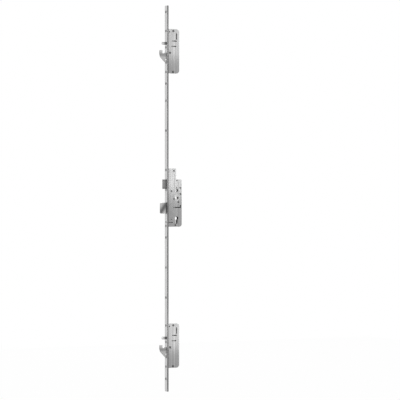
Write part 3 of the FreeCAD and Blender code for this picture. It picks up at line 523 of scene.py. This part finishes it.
# How tight the streaks lie along each axis
UPRIGHT = (900.0, 900.0, 7.0)
CROSSWISE = (40.0, 900.0, 900.0)
CAST = (700.0, 700.0, 700.0)
TURNED = (1400.0, 300.0, 300.0)

ACROSS_X = (1, 0, 0)
ACROSS_Z = (0, 0, 1)
DEADBOLT_SLANT = (0.79, 0, -0.61)
HOOK_SHADE_DROP = 9 * MM

# Middles of the bands of painted shade, in millimetres
AT_FACEPLATE = (0, 0, 0)
LATCH_SHADE = (-2, 0, 0)
DEADBOLT_SHADE = (-16, 0, -47)
FOLLOWER_SHADE = (58.5, 0, 0)

RIVET_HEIGHTS = [level_of(f"{side_name}_box_cover") + RIVET_LIFT for side_name in SIDES]
FIXINGS = fixing_heights()

# The bolts' and the follower's dark bands are painted shade; the deadbolt's slanted band is a painted
# reflection
FINISHES = {
    "faceplate": metal("faceplate_satin_zinc", grey(0.72), grey(0.62), rough=0.34, metallic=0.7,
                       grain=UPRIGHT, wear_and_highlight=0.3, shades=[faceplate_painted_shade], reach=4 * MM),
    "case_plate": metal("case_brushed_zinc", grey(0.58), grey(0.28), rough=0.36, metallic=0.7,
                        grain=UPRIGHT, wear_and_highlight=0.12),
    "box_tray": metal("box_tray_brushed_zinc", grey(0.50), grey(0.32), rough=0.36, metallic=0.7,
                      grain=UPRIGHT, wear_and_highlight=0.4, reach=8 * MM),
    "bolt_metal": metal("bolt_satin_nickel", grey(0.38, 0.01), grey(0.28), rough=0.36, metallic=0.8,
                        grain=CAST, wear_and_highlight=0.8, cloud=90.0),
    "round_bolt": metal("round_bolt_polished", grey(0.58), grey(0.48), rough=0.2, metallic=0.95,
                        grain=TURNED, wear_and_highlight=0.4,
                        shades=[painted_shade_band(AT_FACEPLATE, ACROSS_X, half_width=15, tone=grey(0.06))]),
    "latch": metal("latch_satin_nickel", grey(0.18, 0.01), grey(0.14), rough=0.34, metallic=0.8,
                   grain=CAST, wear_and_highlight=0.6, reach=4 * MM,
                   shades=[painted_shade_band(LATCH_SHADE, ACROSS_X, half_width=7, tone=grey(0.10))]),
    "deadbolt": metal("deadbolt_satin_nickel", grey(0.56, 0.01), grey(0.44), rough=0.32, metallic=0.8,
                      grain=CAST, wear_and_highlight=0.5, reach=6 * MM,
                      shades=[painted_shade_band(DEADBOLT_SHADE, DEADBOLT_SLANT, half_width=12, tone=grey(0.14)),
                              painted_shade_band(AT_FACEPLATE, ACROSS_X, half_width=5, tone=grey(0.10))]),
    "follower": metal("follower_satin_nickel", grey(0.74, 0.01), grey(0.62), rough=0.36, metallic=0.7,
                      grain=CAST, reach=3 * MM,
                      shades=[painted_shade_band(FOLLOWER_SHADE, ACROSS_X, half_width=3.2, tone=grey(0.04))]),
    "ring": metal("ring_pressed_zinc", grey(0.64), grey(0.50), rough=0.36, metallic=0.7,
                  grain=UPRIGHT, wear_and_highlight=0.3, reach=3 * MM),
    "screw": metal("screw_zinc", grey(0.07), grey(0.04), rough=0.34, metallic=0.8, grain=CAST, wear_and_highlight=0.5),
    "pin": metal("pin_turned_steel", grey(0.14), grey(0.08), rough=0.3, metallic=0.85, grain=CAST,
                 wear_and_highlight=1.0),
    "bright_pin": metal("bright_pin_ground_steel", grey(0.78), grey(0.70), rough=0.25, metallic=0.9,
                        grain=CAST, wear_and_highlight=0.2),
    "spring": metal("spring_wire_steel", grey(0.16), grey(0.10), rough=0.3, metallic=0.9, grain=CAST,
                    wear_and_highlight=0.3),
    "inner_steel": metal("inner_zinc", grey(0.26, 0.02), grey(0.18), rough=0.42, metallic=0.7,
                         grain=CROSSWISE, wear_and_highlight=0.4),
}
# Each hook gets a band of painted shade below its pivot
for side_name in SIDES:
    below_pivot = (level_of(f"{side_name}_hook_pivot") - HOOK_SHADE_DROP) / MM
    FINISHES[f"{side_name}_hook"] = metal(
        f"{side_name}_hook_cast_zinc", grey(0.50, 0.01), grey(0.40), rough=0.38, metallic=0.7,
        grain=CAST, wear_and_highlight=0.8, reach=4 * MM,
        shades=[painted_shade_band((0, 0, below_pivot), ACROSS_Z, half_width=9, tone=grey(0.25))])
for node_name, node in NODES.items():
    node.data.materials.clear()
    node.data.materials.append(FINISHES[SLOT_OF[node_name]])


# CAD pieces with eased edges

def eased(node, width, segments=2, shape=None, finish=None):
    """A copy of a CAD solid, worked further and with its edges eased, which stands for the node."""
    piece = bpy.data.objects.new(f"{node}_eased", NODES[node].data.copy())
    bpy.context.scene.collection.objects.link(piece)
    edit(piece, everything)
    bpy.ops.mesh.remove_doubles(threshold=SAME_POINT)
    bpy.ops.mesh.dissolve_limited(angle_limit=SAME_PLANE)
    if shape:
        shape(piece, *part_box(node))
    ease(piece, width, segments)
    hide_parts(node)
    return dress(piece, BODY_OF[node], SLOT_OF[node], finish)


# Rivets, pivots and screws

# Each step goes in by a share of the head's radius and up by a share of its height
DOME_STEPS = ((0.14, 0.45), (0.18, 0.25), (0.18, 0.08), (0.10, 0.0), (0.10, -0.7))
DOME_EDGE = 0.18


def rivet_model(radius, height):
    """A riveted-over head that faces -Y: a low dome with the dimple of the riveting punch."""
    bpy.ops.mesh.primitive_cylinder_add(vertices=32, radius=radius, depth=height,
                                        location=(0, -height / 2, 0), rotation=(math.pi / 2, 0, 0))
    piece = named("rivet_model")
    settle(piece)
    edit(piece, facing(1, -height))
    for inwards, upwards in DOME_STEPS:
        bpy.ops.mesh.inset(thickness=radius * inwards, depth=height * upwards)
    ease(piece, height * DOME_EDGE, sharp=50)
    return piece


FACE_NEAR = Matrix.Identity(4)
FACE_FAR = Matrix.Rotation(math.pi, 4, "Z")
FACE_FRONT = Matrix.Rotation(-math.pi / 2, 4, "Z")


def set_rivets(name, placed, slot="pin"):
    """Heads on the case, each given by its middle, its radius, its height and the way that it faces."""
    heads = []
    for middle, radius, proud, turn in placed:
        model = rivet_model(radius, proud)
        heads.append(copy_to(model, Matrix.Translation(middle) @ turn))
        bpy.data.objects.remove(model)
    return dress(join(name, heads), "case", slot)


LEAST_HEAD = 4.3 * MM
STEP_POST_Z = 79.4 * MM
STEP_HEAD = 3.3 * MM
WELD_SPREAD = 1.5
WELD_PROUD = 0.2 * MM


def rivet_heads(name, node, side, proud=0.45 * MM, wider=1.9):
    """A riveted head over each end of the node's round solids, on one side of the case."""
    turn = FACE_NEAR if side == NEAR else FACE_FAR
    placed = []
    for low, high in solids(node):
        end = low.y if side == NEAR else high.y
        middle = (low + high) / 2
        at_step = abs(middle.z - STEP_POST_Z) < MM
        radius = STEP_HEAD if at_step else max(LEAST_HEAD, (high.x - low.x) / 2 * wider)
        placed.append(((middle.x, end, middle.z), radius, proud, turn))
    return set_rivets(name, placed)


def weld_marks(name, node, tray):
    """A flat plug weld on the back of the tray at each post that stands in it."""
    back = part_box(tray)[1].y
    placed = []
    for low, high in solids(node):
        middle = (low + high) / 2
        radius = (high.x - low.x) / 2 * WELD_SPREAD
        placed.append(((middle.x, back, middle.z), radius, WELD_PROUD, FACE_FAR))
    return set_rivets(name, placed, "case_plate")


SCREW_EDGE = 0.12 * MM
# A countersunk screw, in shares of the radius of its head, and its tip in shares of the shank's
SHANK = 0.48
RECESS_DEEP = 0.8
RECESS_WIDE = 0.26
RECESS_LONG = 1.16
RECESS_TAPER = 0.4
TIP = 0.25


def screw_model(head, shank, length):
    """A countersunk screw that lies along +X, with its head at the origin and a cross recess."""
    neck = head - shank
    bpy.ops.mesh.primitive_cone_add(vertices=40, radius1=head, radius2=shank, depth=neck,
                                    location=(neck / 2, 0, 0), rotation=(0, math.pi / 2, 0))
    piece = named("screw_model")
    settle(piece)
    edit(piece, facing(0, neck))
    bpy.ops.mesh.extrude_region_move(TRANSFORM_OT_translate={"value": (length - neck, 0, 0)})
    bpy.ops.mesh.inset(thickness=shank * TIP, depth=shank * TIP)
    bpy.ops.object.mode_set(mode="OBJECT")
    for turn in (0, math.pi / 2):
        arm = (head * RECESS_DEEP, head * RECESS_WIDE, head * RECESS_LONG)
        bpy.ops.mesh.primitive_cube_add(size=1, location=(0, 0, 0), rotation=(turn, 0, 0), scale=arm)
        cutter = named("recess_arm")
        settle(cutter)
        edit(cutter, facing(0, head * RECESS_DEEP / 2))
        bpy.ops.transform.resize(value=(1, RECESS_TAPER, RECESS_TAPER))
        bpy.ops.object.mode_set(mode="OBJECT")
        select_only(piece)
        cut = piece.modifiers.new("Recess", "BOOLEAN")
        cut.operation = "DIFFERENCE"
        cut.object = cutter
        bpy.ops.object.modifier_apply(modifier=cut.name)
        bpy.data.objects.remove(cutter)
    ease(piece, SCREW_EDGE, segments=1, sharp=40)
    return piece


def set_screws(node, name):
    """Screws with cross recesses in place of the CAD screws of a node."""
    placed = []
    for low, high in solids(node):
        middle = (low + high) / 2
        head = (high.y - low.y) / 2
        model = screw_model(head, head * SHANK, high.x - low.x)
        placed.append(copy_to(model, Matrix.Translation((low.x, middle.y, middle.z))))
        bpy.data.objects.remove(model)
    piece = join(name, placed)
    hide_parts(node)
    return dress(piece, BODY_OF[node], "screw")


# Faceplate

HEAD_REACH = 4.7 * MM
SLANTED = 0.99
STRIP_EDGE = 0.22 * MM
GUIDE_HEAD = 2.6 * MM
STRIP_HEAD = 4 * MM
SMALL_PROUD = 0.3 * MM


def in_countersink(polygon):
    """Whether a face of the faceplate belongs to the slanted wall of a screw hole."""
    near = any(math.hypot(polygon.center.y, polygon.center.z - height) < HEAD_REACH for height in FIXINGS)
    return near and abs(polygon.normal.x) < SLANTED


def front_rivets():
    """The heads in the faceplate: the rod guides' rivets and one at each side box."""
    placed = []
    for low, high in solids("guide_rivets"):
        placed.append(((low.x, 0, (low.z + high.z) / 2), GUIDE_HEAD, SMALL_PROUD, FACE_FRONT))
    for height in RIVET_HEIGHTS:
        placed.append(((0, 0, height), STRIP_HEAD, SMALL_PROUD, FACE_FRONT))
    return set_rivets("faceplate_rivet_heads", placed)


strip = eased("faceplate", STRIP_EDGE)
# The countersinks' faces are marked for the painted shade in them
mark(strip, "Countersink", in_countersink)
set_screws("case_screws", "case_screws_cross")
set_screws("cylinder_fixing_screw", "cylinder_screw_cross")
front_rivets()


# Cases

SHEET_EDGE = 0.18 * MM
FOLLOWER_EASED = 0.25 * MM
FOLLOWER_X = 50 * MM
RING_INNER = 11.4 * MM
RING_OUTER = 14.2 * MM
RING_THICK = 0.5 * MM
RING_FORWARD = 0.01 * MM
RING_EDGE = 0.2 * MM
PIVOT_PROUD = 0.5 * MM
PIVOT_WIDER = 1.35
BOX_POST_WIDER = 2.4

# Small rivets of a cover: X, height, radius and how far each stands proud, in millimetres. In a side
# box the height counts from the middle of its cover.
MAIN_SMALL_RIVETS = ((49.3, 46, 2.5, 0.3), (23.3, -97, 2.4, 0.2))
BOX_SMALL_RIVETS = ((14, 87, 3, 0.3), (8.2, -22.5, 2.4, 0.3))


def follower_ring():
    """The pressed ring that stands proud of the cover round the follower."""
    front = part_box("main_case_cover")[0].y
    bpy.ops.mesh.primitive_cylinder_add(vertices=64, radius=RING_OUTER, depth=RING_THICK,
                                        location=(FOLLOWER_X, front - RING_FORWARD, 0),
                                        rotation=(math.pi / 2, 0, 0))
    piece = named("follower_ring")
    settle(piece)
    edit(piece, across_y)
    bpy.ops.mesh.inset(thickness=RING_OUTER - RING_INNER)
    bpy.ops.mesh.bridge_edge_loops()
    ease(piece, RING_EDGE)
    return dress(piece, "case", "case_plate", "ring")


def small_rivets(name, cover, level, rivets):
    """Small rivets on the face of a cover, at their heights above a level."""
    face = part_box(cover)[0].y
    placed = []
    for x, up, radius, proud in rivets:
        placed.append(((x * MM, face, level + up * MM), radius * MM, proud * MM, FACE_NEAR))
    return set_rivets(name, placed)


def main_case():
    for part in ("main_case_tray", "main_case_cover"):
        eased(part, SHEET_EDGE)
    rivet_heads("main_case_rivets", "main_case_posts", NEAR)
    weld_marks("main_case_weld_marks", "main_case_posts", "main_case_tray")
    small_rivets("main_case_small_rivets", "main_case_cover", 0, MAIN_SMALL_RIVETS)
    follower_ring()
    eased("follower", FOLLOWER_EASED, finish="follower")


def side_box(side):
    tray = f"{side}_box_tray"
    cover = f"{side}_box_cover"
    eased(tray, SHEET_EDGE, finish="box_tray")
    eased(cover, SHEET_EDGE)
    small_rivets(f"{side}_box_small_rivets", cover, level_of(cover), BOX_SMALL_RIVETS)
    rivet_heads(f"{side}_box_rivets", f"{side}_box_posts", NEAR, wider=BOX_POST_WIDER)
    weld_marks(f"{side}_box_weld_marks", f"{side}_box_posts", tray)
    for place, word in ((NEAR, "near"), (FAR, "far")):
        rivet_heads(f"{side}_pivot_head_{word}", f"{side}_hook_pivot", place, PIVOT_PROUD, PIVOT_WIDER)


main_case()
for side_name in SIDES:
    side_box(side_name)


# Bolts

BOLT_EDGE = 0.4 * MM
HOOK_EDGE = 0.35 * MM
ROUND_BOLT_EDGE = 0.3 * MM
WIRE_EDGE = 0.12 * MM
SUNK = 0.6 * MM
BAND = 5 * MM
WAIST_RIM = 0.1 * MM
PANEL_RIM = 4 * MM
FACE_GAP = 1 * MM


def latch_waist(piece, low, high):
    """Sinks the side of the latch between a raised band at its top and at its foot."""
    for axis, place in ((2, low.z + BAND), (2, high.z - BAND), (0, -FACE_GAP)):
        bisect(piece, axis, place)
    choose(piece, facing(1, low.y, lambda centre: centre.x < -FACE_GAP
                         and low.z + BAND < centre.z < high.z - BAND))
    bpy.ops.mesh.inset(thickness=WAIST_RIM, depth=-SUNK)


def deadbolt_panel(piece, low, high):
    """Sinks a panel in the side of the deadbolt's head."""
    bisect(piece, 0, -FACE_GAP)
    choose(piece, facing(1, low.y, lambda centre: centre.x < -FACE_GAP))
    bpy.ops.mesh.inset(thickness=PANEL_RIM, depth=-SUNK)


NOSE_LENGTH = 1.6 * MM
NOSE_END = 0.76
GROOVE_FROM = 5 * MM
GROOVE_TO = 6.4 * MM
GROOVE_DEEP = 0.5 * MM
ROUND_WALL = 0.1


def bolt_nose(piece, low, high):
    """Draws the bolt's end in to a blunt cone and turns a groove behind it."""
    choose(piece, facing(0, low.x))
    bpy.ops.transform.translate(value=(NOSE_LENGTH, 0, 0))
    bpy.ops.mesh.extrude_region_move(TRANSFORM_OT_translate={"value": (-NOSE_LENGTH, 0, 0)})
    bpy.ops.transform.resize(value=(1, NOSE_END, NOSE_END))
    for place in (GROOVE_FROM, GROOVE_TO):
        bisect(piece, 0, low.x + place)
    choose(piece, lambda face: abs(face.normal.x) < ROUND_WALL
           and low.x + GROOVE_FROM < face.calc_center_median().x < low.x + GROOVE_TO)
    bpy.ops.transform.shrink_fatten(value=-GROOVE_DEEP)


HOOK_PIN_RADIUS = 4 * MM
HOOK_PIN_X = -2 * MM
HOOK_PIN_Y = -1 * MM
HOOK_PIN_DROP = 38.7 * MM
HOOK_PIN_LENGTH = 8.2 * MM
HOOK_PIN_RIM = 0.9 * MM
HOOK_PIN_PROUD = 0.15 * MM


def hook_pin(side):
    """The bright pin in the bore of the hook's heel, with its ends riveted over."""
    level = level_of(f"{side}_box_cover") - HOOK_PIN_DROP
    bpy.ops.mesh.primitive_cylinder_add(vertices=40, radius=HOOK_PIN_RADIUS, depth=HOOK_PIN_LENGTH,
                                        location=(HOOK_PIN_X, HOOK_PIN_Y, level),
                                        rotation=(math.pi / 2, 0, 0))
    piece = named(f"{side}_hook_bright_pin")
    settle(piece)
    edit(piece, across_y)
    bpy.ops.mesh.inset(thickness=HOOK_PIN_RIM, depth=HOOK_PIN_PROUD, use_individual=True)
    ease(piece, HOOK_PIN_PROUD)
    return dress(piece, f"{side}_hook", "pin", "bright_pin")


def latch_coil():
    """The latch's spring, with its edges eased and a mesh of its own."""
    spring = eased("latch_spring", WIRE_EDGE, segments=1)
    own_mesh(spring)


latch_coil()
eased("latch_bolt", BOLT_EDGE, shape=latch_waist, finish="latch")
eased("deadbolt", BOLT_EDGE, shape=deadbolt_panel, finish="deadbolt")
for side_name in SIDES:
    eased(f"{side_name}_hook", HOOK_EDGE, finish=f"{side_name}_hook")
    hook_pin(side_name)
    eased(f"{side_name}_round_bolt", ROUND_BOLT_EDGE, shape=bolt_nose)


# Room, light and camera

FLOOR_GAP = 1 * MM
FLOOR_SIZE = 6.0
FLOOR_PALE = 0.9
FLOOR_ROUGH = 0.9
FLOOR_WHITE = 0.985
SOFT_LIGHT = 0.3
LENS = 200
SENSOR = 36
VIEW_DEPTH = 60
CAMERA_DISTANCE = 10.0
CAMERA_TURN = math.radians(-28.3)
AIM = Vector((0.130, -0.082, -0.0095))
FORWARD = Vector((-math.sin(CAMERA_TURN), math.cos(CAMERA_TURN), 0))


def white_where_seen(tree, share):
    """How much plain white a ray from the camera or a reflection meets."""
    path = add(tree, "ShaderNodeLightPath")
    seen = path.outputs["Is Camera Ray"]
    for ray in ("Is Glossy Ray", "Is Transmission Ray"):
        seen = arithmetic(tree, "MAXIMUM", seen, path.outputs[ray])
    return arithmetic(tree, "MULTIPLY", seen, share)


def mix_shaders(tree, factor, shaded, seen, surface):
    """Puts on a surface the shaded look, and the seen one where the factor is 1."""
    mix = add(tree, "ShaderNodeMixShader")
    tree.links.new(factor, mix.inputs["Fac"])
    tree.links.new(shaded, mix.inputs[1])
    tree.links.new(seen, mix.inputs[2])
    tree.links.new(mix.outputs["Shader"], surface)


def build_world(soft_strength):
    world = bpy.data.worlds.new("studio")
    bpy.context.scene.world = world
    world.use_nodes = True
    tree = world.node_tree
    tree.nodes.clear()
    output = add(tree, "ShaderNodeOutputWorld")
    white = add(tree, "ShaderNodeBackground")
    soft = add(tree, "ShaderNodeBackground")
    for light, strength in ((white, 1.0), (soft, soft_strength)):
        light.inputs["Color"].default_value = grey(1.0)
        light.inputs["Strength"].default_value = strength
    mix_shaders(tree, white_where_seen(tree, 1.0), soft.outputs["Background"],
                white.outputs["Background"], output.inputs["Surface"])


def build_floor():
    bpy.ops.mesh.primitive_plane_add(size=FLOOR_SIZE, location=(0, 0, cad_box[0][2] - FLOOR_GAP))
    floor = named("studio_floor")
    material = bpy.data.materials.new("pale_floor")
    material.use_nodes = True
    tree = material.node_tree
    surface = tree.nodes["Principled BSDF"]
    surface.inputs["Base Color"].default_value = grey(FLOOR_PALE)
    surface.inputs["Roughness"].default_value = FLOOR_ROUGH
    white = add(tree, "ShaderNodeEmission")
    mix_shaders(tree, white_where_seen(tree, FLOOR_WHITE), surface.outputs["BSDF"],
                white.outputs["Emission"], tree.nodes["Material Output"].inputs["Surface"])
    floor.data.materials.append(material)


def lamp(name, place, target, wide, tall, power):
    """A soft upright area lamp aimed at a point, with its power in watts."""
    light = bpy.data.lights.new(name, "AREA")
    light.energy = power
    light.shape = "RECTANGLE"
    light.size = wide
    light.size_y = tall
    holder = bpy.data.objects.new(name, light)
    bpy.context.scene.collection.objects.link(holder)
    holder.location = place
    holder.rotation_euler = (Vector(target) - Vector(place)).to_track_quat("-Z", "Y").to_euler()
    holder.visible_camera = False


GLOW_TOP = 40 * MM
GLOW_WIDTH = 0.12


def glow(name, cover, away, foot, power):
    """A small panel lamp that stands where the upper part of a cover mirrors it to the camera. The
    foot is the share of the cover that stays dark below it."""
    mirror = Vector((FORWARD.x, -FORWARD.y, 0))
    low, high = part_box(cover)
    bottom = low.z + (high.z - low.z) * foot
    top = high.z + GLOW_TOP
    aim = Vector(((low.x + high.x) / 2, low.y, (bottom + top) / 2))
    lamp(name, aim + mirror * away, aim, GLOW_WIDTH, top - bottom, power)


def build_lamps():
    lamp("front_strip", place=(-2.2, -0.5, 0.0), target=(0, 0, 0), wide=0.5, tall=2.6, power=16)
    lamp("side_fill", place=(-0.6, -3.0, 0.6), target=(0.02, 0, 0), wide=1.2, tall=2.4, power=8)
    lamp("back_fill", place=(0.8, 2.6, 0.8), target=(0.02, 0, 0), wide=1.4, tall=2.4, power=16)
    glow("upper_glow", "upper_box_cover", away=0.15, foot=0.41, power=0.07)
    glow("lower_glow", "lower_box_cover", away=0.15, foot=0.37, power=0.084)
    glow("main_glow", "main_case_cover", away=0.32, foot=0.58, power=0.15)


def build_camera():
    camera = bpy.data.objects.new("camera", bpy.data.cameras.new("camera"))
    bpy.context.scene.collection.objects.link(camera)
    camera.data.lens = LENS
    camera.data.sensor_width = SENSOR
    camera.data.clip_end = VIEW_DEPTH
    camera.location = AIM - FORWARD * CAMERA_DISTANCE
    camera.rotation_euler = FORWARD.to_track_quat("-Z", "Y").to_euler()
    bpy.context.scene.camera = camera


build_world(SOFT_LIGHT)
build_floor()
build_lamps()
build_camera()
bpy.context.scene.view_settings.view_transform = "Standard"
